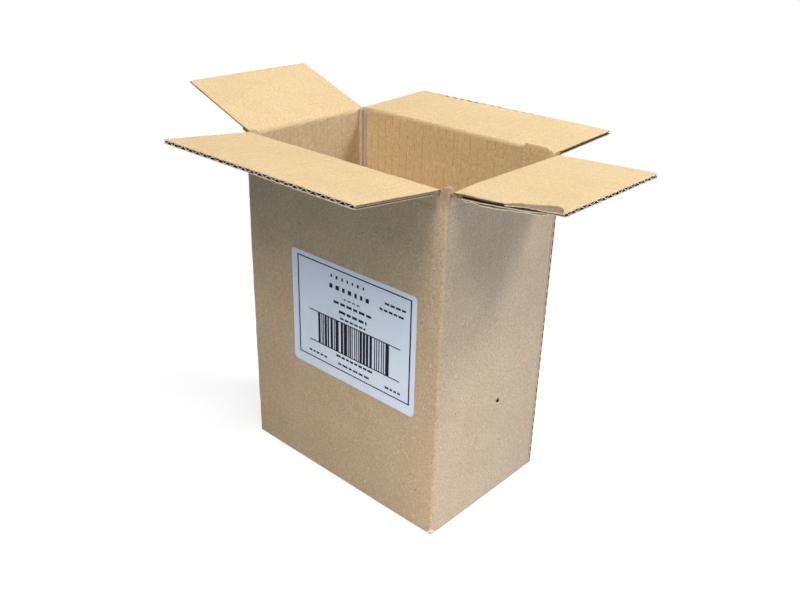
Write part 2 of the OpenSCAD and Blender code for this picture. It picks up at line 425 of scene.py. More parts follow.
class Side:
    """One side: local u runs along the wall, o points outwards, and the crease line is at o = z = 0."""

    def __init__(self, name, turn, reach, half, depth, height, length, tilt, insets, axis):
        self.name, self.q, self.h, self.f = name, depth, height, length
        a = math.radians(turn)
        self.u_dir = np.array([math.cos(a), math.sin(a), 0.0])
        self.o_dir = np.array([math.sin(a), -math.cos(a), 0.0])
        self.z_dir = np.array([0.0, 0.0, 1.0])
        self.reach = reach
        self.pivot = self.o_dir * (reach - depth) + self.z_dir * height
        self.phi = math.radians(90 - tilt)
        self.u0, self.u1 = insets[0] - half, half - insets[1]
        self.half = half
        self.axis = axis

    def at(self, u, o, z):
        """A point from its place along the wall, outwards from the crease line and above it."""
        u, o, z = np.broadcast_arrays(u, o, z)
        return self.pivot + u[..., None] * self.u_dir + o[..., None] * self.o_dir + z[..., None] * self.z_dir

    def flap(self, u, s, n):
        """A point of the flap: along it, out from the crease line, and up from the crease line's plane."""
        c, k = math.cos(self.phi), math.sin(self.phi)
        return self.at(u, np.asarray(s) * k - np.asarray(n) * c, np.asarray(s) * c + np.asarray(n) * k)

    def corner_ease(self, u):
        """1 where a creased corner's round begins, 0 some way along the wall; the glued corner has none."""
        low = np.asarray(u) + self.half - CORNER_R
        high = self.half - CORNER_R - np.asarray(u)
        ease_low = fade(10, low) * (self.name != "back")
        ease_high = fade(10, high) * (self.name != "right")
        return np.maximum(ease_low, ease_high) ** 2


FRONT = Side("front", 0, HALF_W, HALF_L, LONG_Q, LONG_H, LONG_F, 6.0, (4.0, 6.0), Y)
BACK = Side("back", 180, HALF_W, HALF_L, LONG_Q, LONG_H, LONG_F, 2.5, (3.6, 3.8), Y)
RIGHT = Side("right", 90, HALF_L, HALF_W, SHORT_Q, SHORT_H, SHORT_F, 3.0, (3.2, 4.6), X)
LEFT = Side("left", -90, HALF_L, HALF_W, SHORT_Q, SHORT_H, SHORT_F, 20.0, (3.2, 3.2), X)


def washboard(u):
    """From 0 over a flute that holds the liner to 1 midway between two."""
    return 0.5 - 0.5 * np.cos(2 * math.pi * np.asarray(u) / PITCH)


def rise(distance):
    """The flutes' marks fade out in the pressed board beside a crease."""
    return smooth(2.5, 9.0, distance)


# Fluted board


# Materials of a board: inner and outer face, fluted paper, pale cut end, painted shade for the gap between the
# liners, side
B_IN, B_OUT, B_WAVE, B_CUT, B_GAP_SHADE, B_SIDE = range(6)
# and of its edges: root, high side, far end, low side
EDGES = (B_SIDE, B_SIDE, B_CUT, B_SIDE)
TORN_EDGES = (B_SIDE, B_SIDE, B_CUT, B_CUT)
TORN_WAVE_EDGES = (B_SIDE, B_SIDE, B_CUT, B_WAVE)


class Cut:
    """Where a board's low side runs, for its inner liner, its outer liner and its fluted paper."""

    def __init__(self, inner, outer, wave, crush):
        self.inner, self.outer, self.wave, self.crush = inner, outer, wave, crush


def fluted_board(name, place, u0, u1, s0, s1, q, axis, seed,
                 cut=None, notch=None, inset=0.5, shift=0.0, press=0.0):
    """Two liners and the fluted paper between them. place(u, s, n) puts a point of the board in the scene.
    notch(u, e) is 1 where the inner liner is chipped off, e from the far edge; inset is how far the fluted
    paper stands back from the sides, shift where a flute's top lies, and press how far the board's high side
    is flattened from outside."""
    edges = TORN_EDGES if cut else EDGES
    far_rows = [s1 - 2.3, s1 - 1.2, s1 - 0.5, s1]
    rows = np.unique(np.concatenate([np.arange(s0, s1 - 1.0, 2.2), far_rows]))
    share = np.linspace(0, 1, max(2, int((u1 - u0) / 0.95)))
    share = np.sort(np.concatenate([share, [0.3 / (u1 - u0), 1 - 0.3 / (u1 - u0)]]))

    def liner(side_cut, level, inwards, sheet_seed, face_slot, broken):
        lo = side_cut(rows) if cut else np.full_like(rows, u0)
        lo = lo + 0.10 * noise(rows, sheet_seed + 3, 2.3) + 0.05 * noise(rows, sheet_seed + 4, 0.8)
        hi = u1 + 0.10 * noise(rows, sheet_seed + 5, 2.6)
        u = lo[:, None] + share[None, :] * (hi - lo)[:, None]
        s = np.repeat(rows[:, None], len(share), 1)
        tip = smooth(s1 - 4.0, s1, s)
        fray = 0.15 * noise(u, sheet_seed + 1, 2.9) + 0.08 * noise(u, sheet_seed + 2, 0.9)
        s = s + tip * fray
        near = np.minimum(u - lo[:, None], hi[:, None] - u)
        pressed = (0.05 if cut else 0.18) * fade(1.6, near)
        pressed = pressed + 0.15 * fade(2.0, s1 - s)
        burr = 0.16 * fade(0.9, near) + 0.12 * fade(0.9, s1 - s)
        face = level + inwards * (pressed + RIB * washboard(u) * rise(s))
        if inwards > 0:
            face = face + press * fade(PRESSED_RUN, hi[:, None] - u)
        if broken:
            face = face - 0.25 * broken(u, s1 - s)
        if cut:
            face = face + cut.crush(u, s, inwards)
        front, back = place(u, s, face), place(u, s, face + inwards * (LINER + burr))
        if inwards > 0:
            return slab(back, front, B_GAP_SHADE, face_slot, edges)
        sheet = slab(front, back, face_slot, B_GAP_SHADE, edges)
        # painted shade: faces of the inner liner where it is chipped off take the gap's dark colour
        if broken:
            lost = broken(u, s1 - s) > 0.5
            for k in np.flatnonzero(lost[:-1, :-1]):
                sheet[2][k] = B_GAP_SHADE
        return sheet

    parts = [
        liner(cut.inner if cut else None, T - q, -1, seed, B_IN, notch),
        liner(cut.outer if cut else None, -q, 1, seed + 50, B_OUT, None),
    ]
    swing = (T - 2 * LINER - MEDIUM) / 2
    count = int((u1 - u0) / PITCH * 14)
    far_rows = [s1 - 6, s1 - 2.5, s1 - 0.9, s1 - 0.1]
    rows = np.unique(np.concatenate([np.arange(s0, s1 - 6, 3.0 if cut else 9.0), far_rows]))
    lo = (cut.wave(rows) if cut else np.full_like(rows, u0)) + inset
    u = lo[:, None] + np.linspace(0, 1, count)[None, :] * (u1 - inset - lo)[:, None]
    s = np.repeat(rows[:, None], count, 1)
    tip = smooth(s1 - 3.0, s1, s)
    s = s + tip * 0.16 * noise(u, seed + 71, 1.7)
    near = np.minimum(u - lo[:, None], u1 - inset - u)
    flat = press * fade(PRESSED_RUN, u1 - inset - u)
    squeeze = (1 - 0.25 * fade(2.0, near) - 0.12 * tip) * (1 - flat / (2 * swing))
    turn = 2 * math.pi * (u - shift) / PITCH + 0.35 * tip * noise(u, seed + 72, 5.0)
    # flutes are nearer to a zigzag than to a sine
    zigzag = (2 / math.pi) * np.arcsin(0.98 * np.cos(turn)) / 0.87
    n = T / 2 - q + flat / 2 + squeeze * swing * (0.6 * np.cos(turn) + 0.4 * zigzag)
    if cut:
        n = n + 0.5 * (cut.crush(u, s, -1) + cut.crush(u, s, 1))
    thick = MEDIUM / 2 + 0.11 * np.maximum(smooth(s1 - 1.0, s1 - 0.1, s), fade(0.7, near))
    wave_edges = TORN_WAVE_EDGES if cut else edges
    parts.append(slab(place(u, s, n + thick), place(u, s, n - thick), B_WAVE, B_WAVE, wave_edges))
    inside, outside = flap_inside[axis], flap_outside[axis]
    return make(name, parts, [inside, outside, flute[axis], cut_edge, between, side_edge])


# The near side of the right flap is torn and pressed: its inner liner is gone along part of it

TORN_INSET = 4.4   # how far the torn side has drawn in at the flap's far end
CRUSHED_RUN = 26   # how far in from the torn side the board is crushed


def right_side(s):
    return RIGHT.u0 + TORN_INSET * np.asarray(s, float) / SHORT_F


def right_outer(s):
    width = np.interp(s, (0, 11, 22, 30, 40, 45, 51, 55, 61.5),
                      (0.3, 0.1, 0.0, 0.1, 0.3, 1.0, 2.6, 3.0, 3.2))
    return right_side(s) + width + 0.25 * noise(s, 31, 3.0)


def right_inner(s):
    width = np.interp(s, (0, 4.5, 12, 19, 26, 31.6, 34, 36.8, 43, 49, 52.4, 55, 57.5, 59.4, 60.6, 61.5),
                      (1.4, 1.4, 0.7, 0.2, -0.5, -0.2, 1.4, 3.4, 4.9, 7.4, 9.2, 9.2, 7.6, 4.4, 2.0, 0.9))
    return right_side(s) + width + 0.2 * noise(s, 37, 2.1)


def right_bare(s):
    """The torn edge of the fluted paper, where the inner liner is lost."""
    width = np.interp(s, (0, 10, 19, 34, 43.5, 52, 61.5), (0.3, 0.3, 0.1, 0.6, 2.2, 2.2, 2.9))
    return right_side(s) + width + 0.25 * noise(s, 41, 2.6)


def right_wave(s):
    return np.where(np.asarray(s) > 33, right_inner(s) + 0.3, right_bare(s))


def right_crush(u, s, inwards):
    near = fade(CRUSHED_RUN, u - RIGHT.u0)
    root = 1 - smooth(8, 60, s)
    return (-0.4 if inwards < 0 else -0.6) * near * near * root


RIGHT_CUT = Cut(right_inner, right_outer, right_wave, right_crush)


def dress(obj, body, node=None):
    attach(obj, body)
    if node:
        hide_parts(node)
    return obj


# Top flaps


def back_notch(u, e):
    """The back flap's far edge is chipped over its flutes, most in its left half; painted shade darkens the
    chips.
    """
    deep = np.interp(u, (-76, -40, -20, 15, 53, 62, 76), (0.0, 1.2, 2.2, 3.1, 3.1, 2.2, 0.0))
    deep = deep * (0.8 + 0.3 * noise(u, 306, 9.0))
    return (washboard(u) < 0.45) * smooth(deep, deep - 0.6, e) * (deep > 1.2)


# side, torn cut, chipped edge, inset, shift of the flutes, pressed side
for k, (side, *wear) in enumerate((
    (FRONT, None, None, 0.25, 0.6, 0.0),
    (BACK, None, back_notch, 1.0, 0.0, 0.0),
    (RIGHT, RIGHT_CUT, None, 0.25, RIGHT.u0 + 0.8, 0.0),
    (LEFT, None, None, 0.4, LEFT.u1 - 2.0, 1.2),
)):
    board = fluted_board(
        f"{side.name}_flap_board", side.flap, side.u0, side.u1, ROOT, side.f, side.q, side.axis,
        100 + 200 * k, *wear,
    )
    dress(board, side.name, f"{side.name}_flap")


def torn_strip():
    """The flute's slope that the missing liner leaves bare, from the tear down to the outer liner."""
    s = np.concatenate([np.linspace(31, 58, 25), [59, 60, 60.8]])
    inner, outer = right_inner(s) + 0.35, np.minimum(right_bare(s), right_inner(s))
    share = np.linspace(0, 1, 7)
    u = outer[:, None] + share[None, :] * (inner - outer)[:, None]
    ss = np.repeat(s[:, None], 7, 1) + 0.12 * noise(u, 47, 0.9) * smooth(59, 60.8, s)[:, None]
    high = T - RIGHT.q - LINER - 0.06 + right_crush(inner, s, -1)
    low = -RIGHT.q + LINER + 1.45 + right_crush(outer, s, 1)
    curve = np.sin(share * math.pi / 2) ** 1.2
    n = low[:, None] + curve[None, :] * (high - low)[:, None] + 0.08 * noise(ss + 5 * u, 48, 1.6)
    sheet = slab(RIGHT.flap(u, ss, n), RIGHT.flap(u, ss, n - 0.6), 0, 1, 2)
    return make("right_flap_bare_flute", [sheet], [bare_flute, flute[X], cut_edge])


dress(torn_strip(), "right")


def hanging_ply():
    """The outer liner's own torn ply, curled down along the near side."""
    s = np.linspace(8, 52, 90)
    drop = np.interp(s, (8, 13, 20, 27, 35, 42, 47, 52), (0.10, 0.35, 0.7, 0.75, 0.55, 0.35, 0.25, 0.1))
    drop = drop + 0.22 * noise(s, 53, 3.1) + 0.12 * noise(s, 54, 1.2)
    edge = right_outer(s) - 0.1 + 0.45 * noise(s, 55, 2.2)
    share = np.linspace(0, 1, 6)
    u = edge[:, None] + share[None, :] * 3.4
    n = -RIGHT.q + 0.12 + right_crush(u, s[:, None], 1) - drop[:, None] * (1 - share[None, :]) ** 1.6
    ss = np.repeat(s[:, None], len(share), 1)
    thick = 0.28 + 0.22 * fade(0.35, share)[None, :]
    sheet = slab(RIGHT.flap(u, ss, n), RIGHT.flap(u, ss, n - thick), 0, 1, 2)
    return make("right_flap_torn_ply", [sheet], [flute[X], flap_outside[X], cut_edge])


ply = dress(hanging_ply(), "right")
tuple(RIGHT.flap(0.0, 0.0, 1.0) - RIGHT.flap(0.0, 0.0, 0.0))
tuple(RIGHT.flap(-46.0, 30.0, -RIGHT.q) * MM)
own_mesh(ply)


# Folded creases between walls and flaps

FOLD_STEPS = 12
WALL_ROWS = 7      # a crease's first rows of faces still belong to the wall


def fold_path(side, radius, depth, low):
    """One liner's way round the fold, as (outwards, up) from the crease line. depth is its distance inwards."""
    phi = side.phi
    half_turn = math.tan(phi / 2)
    reach, corner = radius * half_turn, depth * half_turn
    path = [(-depth, z) for z in np.linspace(low, corner - reach, 5)[:-1]]
    for k in range(FOLD_STEPS + 1):
        a = math.pi - phi * k / FOLD_STEPS
        path.append((radius - depth + radius * math.cos(a), corner - reach + radius * math.sin(a)))
    for s in np.linspace(reach - corner, ROOT, 5)[1:]:
        path.append((s * math.sin(phi) - depth * math.cos(phi), s * math.cos(phi) + depth * math.sin(phi)))
    return np.array(path)


def crease(side, radius, seed):
    """The folded board along one crease, from the wall's rim to the flap's root."""
    low = RIM - side.h
    phi = side.phi
    share = np.linspace(0, 1, int(side.u1 - side.u0))
    rings = []
    torn = side is RIGHT
    paths = (fold_path(side, radius, T - side.q, low), fold_path(side, OUTER_FOLD_R, -side.q, low))
    for outer, path in enumerate(paths):
        steps = len(path)
        j = np.arange(steps)
        along = j / (steps - 1)
        flap_part = smooth(0.35, 1.0, along)
        flap_d = path[:, 0] * math.sin(phi) + path[:, 1] * math.cos(phi)
        d = np.where(j < steps // 2, -path[:, 1], flap_d).clip(0)
        tangent = np.gradient(path, axis=0)
        tangent /= np.linalg.norm(tangent, axis=1)[:, None]
        normal = np.stack([-tangent[:, 1], tangent[:, 0]], 1) * (-1 if outer else 1)
        u0, u1 = np.full(steps, side.u0), np.full(steps, side.u1)
        if torn:
            # the far end keeps a bit of board at the fold, cut off aslant
            u1 = u1 + 1.5 * np.exp(-((j - 8.5) / 4.5) ** 2)
            u0 = u0 + (right_inner(ROOT) - side.u0) * flap_part
        u = u0[:, None] + share[None, :] * (u1 - u0)[:, None]
        bend = 1 - rise(d)
        wobble = 0.10 * noise(u + 3.1 * j[:, None], seed + outer, 7.0)
        wobble = bend[:, None] * (wobble + 0.06 * noise(u, seed + 5 + outer, 2.2))
        sink = wobble - RIB * washboard(u) * rise(d)[:, None]
        near = np.minimum(u - u0[:, None], u1[:, None] - u)
        sink = sink - (0.05 if torn else 0.18) * fade(1.6, near) * flap_part[:, None]
        if torn:
            # pressed flat towards its torn end
            close = fade(CRUSHED_RUN, u - side.u0) ** 2
            flattened = 0.5 * smooth(0.5, 0.9, along) if outer else -0.8 * smooth(0.15, 0.6, along)
            sink = sink + close * flattened[:, None]
        if outer:
            sink = sink - 0.6 * side.corner_ease(u) * (1 - smooth(0.2, 0.5, along))[:, None]
        rings.append(side.at(u, path[:, :1] + normal[:, :1] * sink, path[:, 1:] + normal[:, 1:] * sink))
    sheet = slab(rings[0], rings[1], 0, 1, (2, 3, 2, 3))
    wall_faces = WALL_ROWS * (len(share) - 1)
    sheet[2][:wall_faces] = [4] * wall_faces
    materials = [flap_inside[side.axis], flap_outside[side.axis], side_edge, pressed_end,
                 wall_inside_long if side.axis == Y else wall_inside_short]
    obj = make(f"{side.name}_crease", [sheet], materials, 60)
    lean = np.array([math.sin(phi / 2), math.cos(phi / 2)]) * 1.6
    start, end = side.at(0.0, -lean[0], -lean[1]) * MM, side.at(0.0, lean[0], lean[1]) * MM
    tuple(start)
    tuple(end)
    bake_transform(obj)


for k, (side, fold_radius) in enumerate(((FRONT, 3.0), (BACK, 2.2), (RIGHT, 4.2), (LEFT, 4.2))):
    crease(side, fold_radius, 900 + 40 * k)


# Walls: one folded band with three creased corners and one glued corner

IX, IY = HALF_L - T, HALF_W - T


class Band:
    """Points round the box: outer and inner plan, side and place along it."""

    def __init__(self):
        self.rows = []
        self.panel(FRONT, -HALF_L + CORNER_R, HALF_L - CORNER_R, True, True)
        self.corner(1, -1, -90)
        self.panel(RIGHT, -HALF_W + CORNER_R, IY - 1.4, True, False, (HOLE_U + np.arange(-1.8, 1.9, 0.3)))
        self.glued_end()
        self.panel(BACK, -HALF_L + 1.0, HALF_L - CORNER_R, False, True)
        self.corner(-1, 1, 90)
        self.panel(LEFT, -HALF_W + CORNER_R, HALF_W - CORNER_R, True, True)
        self.corner(-1, -1, 180)
        r = self.rows
        self.outer = np.array([x[0] for x in r])
        self.inner = np.array([x[1] for x in r])
        self.kind = [x[2] for x in r]
        self.u = np.array([x[3] for x in r])
        self.o_dir = np.array([x[4] for x in r])
        self.ease = np.array([x[5] for x in r])

    def panel(self, side, lo, hi, bead_low, bead_high, extra=()):
        us = np.linspace(lo, hi, int((hi - lo) / 0.95))
        us = np.concatenate([us, [u for u in (side.u0, side.u1) if lo < u < hi], extra])
        us = np.unique(us.round(3))
        us = us[np.concatenate([[True], np.diff(us) > 0.02])]
        for u in us:
            p = side.u_dir * u + side.o_dir * side.reach
            shift = bead_low * (1 - smooth(-side.half + CORNER_R, -side.half + BEAD_RUN, u))
            shift = shift - bead_high * smooth(side.half - BEAD_RUN, side.half - CORNER_R, u)
            r = side.u_dir * (u + (BEAD + 0.4) * shift) + side.o_dir * (side.reach - T)
            self.rows.append((p[:2], r[:2], side.name, u, side.o_dir, float(side.corner_ease(u))))

    def corner(self, sx, sy, start):
        """A creased corner: rounded outside, with a double raised fold inside."""
        along = {(1, -1): ((-1, 0), (0, 1)), (-1, 1): ((1, 0), (0, -1)), (-1, -1): ((0, 1), (1, 0))}[(sx, sy)]
        a, b = (np.array(v, float) for v in along)
        middle = np.array([sx * (HALF_L - CORNER_R), sy * (HALF_W - CORNER_R)])
        deep = (-0.5, 0.35, 0.6, -0.9, 0.6, 0.35, -0.5)
        for k in range(1, 8):
            t = math.radians(start + 90 * k / 8)
            out = np.array([math.cos(t), math.sin(t), 0.0])
            w = k / 8
            bead = BEAD * ((1 - w) * a + w * b) + deep[k - 1] * (a + b) / math.sqrt(2)
            r = np.array([sx * IX, sy * IY]) + bead
            self.rows.append((middle + CORNER_R * out[:2], r, "corner", 0.0, out, 1.0))

    def glued_end(self):
        """The right wall folds inwards to its tab, and the back wall's raw end stands beside it."""
        raw = (
            (0.04, -0.75), (0.16, -0.3), (0.5, -0.06), (1.6, -0.04), (1.6, 0.04), (0.9, 0.06), (0.9, 0.8),
            (0.9, T - 0.8), (0.9, T - 0.03),
        )
        for k, (dx, dy) in enumerate(raw):
            a = (k + 1) / (len(raw) + 1)
            r = np.array([IX - 0.3 * a, IY - 0.3 * (1 - a)])
            self.rows.append((np.array([HALF_L - dx, IY + dy]), r, "raw", dx, np.array([1.0, 0.0, 0.0]), 0.0))

    def levels(self, z):
        """Outer and inner points for each height of z, from the base fold to the rim."""
        z = np.asarray(z, float)[:, None]
        rows, cols = len(z), len(self.rows)
        short = np.array([k in ("left", "right") for k in self.kind])
        flat = np.array([k in ("front", "right", "back", "left") for k in self.kind])
        raw = np.array([k == "raw" for k in self.kind])
        half = np.where(short, HALF_W, HALF_L)
        foot = np.where(short, FOOT, 0.0)
        zo = foot + z * (RIM - foot) / RIM
        low = np.where(short, 2 * T * 0.9, T * 0.8)
        zi = low + z * (RIM - low) / RIM
        edge = half - np.abs(self.u)
        mark = rise(SHORT_H - zo) * rise(zo) * smooth(2.0, 8.0, edge) * flat
        offsets = {"front": 0, "right": 300, "back": 600, "left": 900}
        seed_u = np.array([offsets.get(k, 0) for k in self.kind])
        swell = noise((self.u + seed_u) / 40 + 0.12 * zo, 7, 1.0)
        swell = swell * smooth(4, 30, edge) * smooth(4, 40, SHORT_H - zo) * flat
        push = -0.05 * washboard(self.u) * mark + 0.14 * swell
        push = push - (0.15 + 0.45 * smooth(110, 200, zo)) * self.ease
        fold = np.where(flat | raw, FOLD_R, 0.5 * FOLD_R)
        h = np.minimum((zo - foot).clip(0), fold)
        push = push - (fold - np.sqrt((fold ** 2 - (fold - h) ** 2).clip(0)))
        # a crushed foot at the near corner, a slightly wavy fold at all creased corners
        plan_x = self.outer[:, 0]
        near_foot = (~flat & ~raw & (plan_x > 0)) * fade(7, zo)
        push = push - near_foot * 0.15 * (1 + noise(3 * zo + np.arange(cols), 66, 1.0))
        corner_id = (plan_x > 0) * 2 + (self.outer[:, 1] > 0)
        place = zo + 97 * corner_id
        wave = 0.14 * noise(place, 60, 11.0) + 0.07 * noise(place, 61, 3.0)
        push = push + (~flat & ~raw) * wave
        in_right = np.array([k == "right" for k in self.kind])
        for du, dz, r in HOLES:
            across = self.u - HOLE_U - du
            away = np.hypot(HOLE_NARROW * across, zo - HOLE_Z - dz + HOLE_SLANT * across) / (0.9 * r)
            push = push - in_right * 0.9 * np.exp(-away ** 4)
        outer = np.zeros((rows, cols, 3))
        outer[..., :2] = self.outer
        outer += push[..., None] * self.o_dir
        outer[..., 2] = zo
        inner = np.zeros((rows, cols, 3))
        inner[..., :2] = self.inner
        pull = 0.11 * washboard(self.u) * mark + 0.14 * swell
        inner += (pull * flat)[..., None] * self.o_dir
        inner[..., 2] = zi
        return outer, inner


BAND = Band()

# Materials of the walls: outside, inside of the long and short ones, raw section, torn rim, inner folds
# and the short ones' outside
W_OUT, W_LONG, W_SHORT, W_RAW, W_RIM, W_FOLD, W_OUT_SHORT = range(7)
OUTER_SLOT = {"left": W_OUT_SHORT, "right": W_OUT_SHORT}
INNER_SLOT = {"left": W_SHORT, "right": W_SHORT, "corner": W_FOLD}


def carton_band():
    """The walls from the floor to the rim, closed at both ends."""
    fold_rows = [0.0, 0.06, 0.2, 0.4, 0.7, 1.2, 2.2, 3.6]
    hole_rows = HOLE_Z + np.arange(-2.4, 2.1, 0.3)
    z = np.unique(np.concatenate([fold_rows, np.linspace(5.4, RIM, 46), hole_rows]))
    outer, inner = BAND.levels(z)
    rows, cols = outer.shape[:2]
    n = rows * cols
    points = np.concatenate([outer.reshape(-1, 3), inner.reshape(-1, 3)])
    faces = grid_quads(rows, cols, 0, False, True)
    slots = []
    for face in faces:
        c, d = face[0] % cols, face[1] % cols
        deep = BAND.kind[c] == "raw" and BAND.kind[d] == "raw" and max(BAND.u[c], BAND.u[d]) > 1.5
        slots.append(W_RAW if deep else OUTER_SLOT.get(BAND.kind[c], W_OUT))
    q = grid_quads(rows, cols, n, True, True)
    faces += q
    slots += [INNER_SLOT.get(BAND.kind[(f[0] - n) % cols], W_LONG) for f in q]
    top = (rows - 1) * cols
    for c in range(cols):
        d = (c + 1) % cols
        faces += [(top + c, top + d, n + top + d, n + top + c), (d, c, n + c, n + d)]
        slots += [W_RAW, W_RAW]
    return points, faces, slots


def corner_post(front_back, left_right, profile, seed):
    """The bit of wall between two flaps, from the rim up to its torn or cut top."""
    sx = 1 if left_right is RIGHT else -1
    sy = -1 if front_back is FRONT else 1
    ends = {side.name: (side.u0, side.u1) for side in (front_back, left_right)}
    keep = []
    for c, kind in enumerate(BAND.kind):
        x, y = BAND.outer[c]
        beside_flap = kind in ("corner", "raw")
        if kind in ends:
            beside_flap = BAND.u[c] <= ends[kind][0] + 0.01 or BAND.u[c] >= ends[kind][1] - 0.01
        if beside_flap and x * sx > 0 and y * sy > 0:
            keep.append(c)
    # start after the gap where the band's first and last columns meet
    gap = next((i for i, (a, b) in enumerate(zip(keep, keep[1:])) if b != a + 1), None)
    if gap is not None:
        keep = keep[gap + 1:] + keep[:gap + 1]
    outer, inner = BAND.levels([RIM])
    outer, inner = outer[0, keep], inner[0, keep]
    share = np.linspace(0, 1, len(keep))
    top = np.interp(share, *profile)
    top = top + 0.3 * noise(share * 20, seed, 1.3) + 0.2 * noise(share * 50, seed + 1, 1.0)
    outer_rows, inner_rows = [], []
    for k in (0.0, 0.3, 0.55, 0.75, 0.9, 1.0):
        o, i = outer.copy(), inner.copy()
        o[:, 2] = RIM + k * (top - RIM)
        i[:, 2] = RIM + k * (top - 0.35 - RIM)
        # the torn top leans in a little and thins out
        lean = smooth(0.55, 1.0, k)
        o[:, :2] += (i[:, :2] - o[:, :2]) * 0.28 * lean
        outer_rows.append(o)
        inner_rows.append(i)
    creased = front_back is FRONT or left_right is LEFT
    return slab(np.array(outer_rows), np.array(inner_rows), W_OUT, W_FOLD if creased else W_LONG, W_RIM)


posts = [
    corner_post(FRONT, RIGHT, ((0, 0.2, 0.42, 0.5, 0.8, 0.9, 1),
                               (212.4, 212.8, 214.0, 215.2, 215.6, 214.2, 212.4)), 501),
    corner_post(BACK, RIGHT, ((0, 0.5, 0.7, 1), (212.8, 214.4, 214.6, 213.6)), 503),
    corner_post(BACK, LEFT, ((0, 0.5, 1), (213.4, 213.8, 212.8)), 505),
    corner_post(FRONT, LEFT, ((0, 0.4, 1), (213.2, 215.0, 214.0)), 507),
]
carton_materials = [wall_outside, wall_inside_long, wall_inside_short, flute[Z], side_edge, inner_fold,
                    wall_outside_short]
carton = make("carton_walls", [carton_band(), *posts], carton_materials, 38)
dress(carton, "carton", "carton_body")


def raw_end():
    """The back wall's cut end beside the glued fold: liners, fluted paper and the knife's small teeth."""
    z = np.linspace(0.8, RIM + 5.2, 300)
    across = np.array([0.10, 0.22, 0.5, 1.2, 1.42, 1.5, 2.3, 2.38, 2.6, 2.72, T - 0.02])
    deep = np.array([0.25, 0.06, 0.0, 0.0, 0.05, 0.8, 0.8, 0.05, 0.0, 0.02, 0.2])
    tooth = smooth(-0.25, 0.35, np.cos(2 * math.pi * z / 5.7 + 0.6 * noise(z, 83, 19.0)))
    zz = np.repeat(z[:, None], len(across), 1)
    sunk = deep * np.where(deep > 0.5, tooth[:, None], 1.0)
    x = HALF_L - 0.06 - sunk + 0.06 * noise(zz + 9 * across, 81, 1.4)
    y = IY + np.repeat(across[None, :], len(z), 0)
    back = np.stack([np.full_like(x, HALF_L - 1.0), y, zz], -1)
    points, faces, slots = slab(np.stack([x, y, zz], -1), back, 0, 0, 0)
    # painted shade in the teeth's gaps, which lie between columns 4 and 7
    cols = len(across)
    sunk = sunk.reshape(-1)
    for k, face in enumerate(faces):
        if max(face) < len(z) * cols and all(4 <= v % cols <= 7 for v in face) and sunk[list(face)].max() > 0.3:
            slots[k] = 1
    return points, faces, slots


dress(make("back_wall_cut_end", [raw_end()], [wall_outside, between], 30), "carton")


# Glue tab inside the back right corner, with a lip that stands up beside the back flap's fold


def tab_wander(z):
    """The unevenness of the tab's cut side."""
    return 0.20 * noise(z, 601, 2.4) + 0.12 * noise(z, 602, 0.9)


def glue_tab():
    z = np.concatenate([[T], np.arange(6, TAB_TOP - 2, 0.73), [TAB_TOP - 1.2, TAB_TOP - 0.4, TAB_TOP]])
    x = np.concatenate([[TAB_X0, TAB_X0 + 0.25, TAB_X0 + 0.6], np.linspace(TAB_X0 + 1.5, IX + 0.1, 26)])
    zz, xx = np.meshgrid(z, x, indexing="ij")
    edge = fade(1.6, xx - TAB_X0)
    # the knife's teeth leave a row of pale dots along the tab's free side
    tooth = (np.arange(len(z)) % 3 < 2)[:, None] * (1 - smooth(0.6, 1.6, xx - TAB_X0))
    xx = xx + edge * tab_wander(zz) - 0.25 * tooth
    face = IY - TAB_T + 0.35 * edge + 0.09 * washboard(xx) * (1 - edge) - 0.15 * tooth
    front = np.stack([xx, face, zz], -1)
    back = np.stack([xx, np.full_like(xx, IY + 0.1), zz], -1)
    points, faces, slots = slab(front, back, 0, 1, 2)
    for r in range(0, len(z) - 1, 3):
        first = r * (len(x) - 1)
        slots[first:first + 3] = [2, 2, 2]
    return points, faces, slots


def tab_lip():
    x = np.concatenate([[TAB_X0, TAB_X0 + 0.25, TAB_X0 + 0.6], np.linspace(TAB_X0 + 1.3, IX - 0.2, 34)])
    above = np.interp(x, (TAB_X0, 61, 70, 72.2, 72.8, 73.6, 74.4, 76, 77),
                      (-0.1, 0.0, 0.1, 0.05, -0.6, -1.5, -0.6, -1.9, -2.6))
    top = LIP_TOP + above + 0.14 * noise(x, 611, 1.1)
    front, back = [], []
    edge = fade(1.6, x - TAB_X0)
    for k in (0.0, 0.2, 0.4, 0.6, 0.8, 0.93, 1.0):
        z = TAB_TOP - 0.15 + k * (top - TAB_TOP + 0.15)
        xx = x + edge * tab_wander(z)
        thin = smooth(0.75, 1.0, k)
        y = IY - TAB_T + 0.35 * edge + 0.09 * washboard(x) * (1 - edge) + 0.35 * thin + 0.25 * k
        front.append(np.stack([xx, y, z], -1))
        back.append(np.stack([xx, np.full_like(x, IY - 0.15 - 0.25 * thin + 0.2 * k), z], -1))
    return slab(np.array(front), np.array(back), 0, 1, 2)


tab_materials = [wall_inside_long, wall_outside, cut_edge]
dress(make("glue_tab", [glue_tab()], tab_materials), "carton")
lip = make("glue_tab_lip", [tab_lip()], tab_materials)
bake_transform(lip)


# Bottom flaps: two long ones outside, two short ones glued on them inside


def base_place(side, level):
    def place(u, s, n):
        u, s, n = np.broadcast_arrays(u, s, n)
        along, out, up = u[..., None], (side.reach - s)[..., None], (level + n)[..., None]
        return along * side.u_dir + out * side.o_dir + up * side.z_dir

    return place


for k, (side, level, half, length) in enumerate((
    (FRONT, 0.0, 76.8, HALF_W + SEAM_Y), (BACK, 0.0, 76.8, HALF_W - SEAM_Y - 0.6),
    (LEFT, T + 0.02, 47.7, SHORT_F), (RIGHT, T + 0.02, 47.7, SHORT_F),
)):
    place, seed = base_place(side, level), 1500 + 200 * k
    board = fluted_board(f"bottom_{side.name}_flap", place, -half, half, 1.2, length, 0.0, side.axis, seed)
    dress(board, "carton")


# Label with generic print

LABEL_X, LABEL_Z, LABEL_W, LABEL_H, LABEL_R = 11.9, 113.5, 101.6, 76.2, 3.0


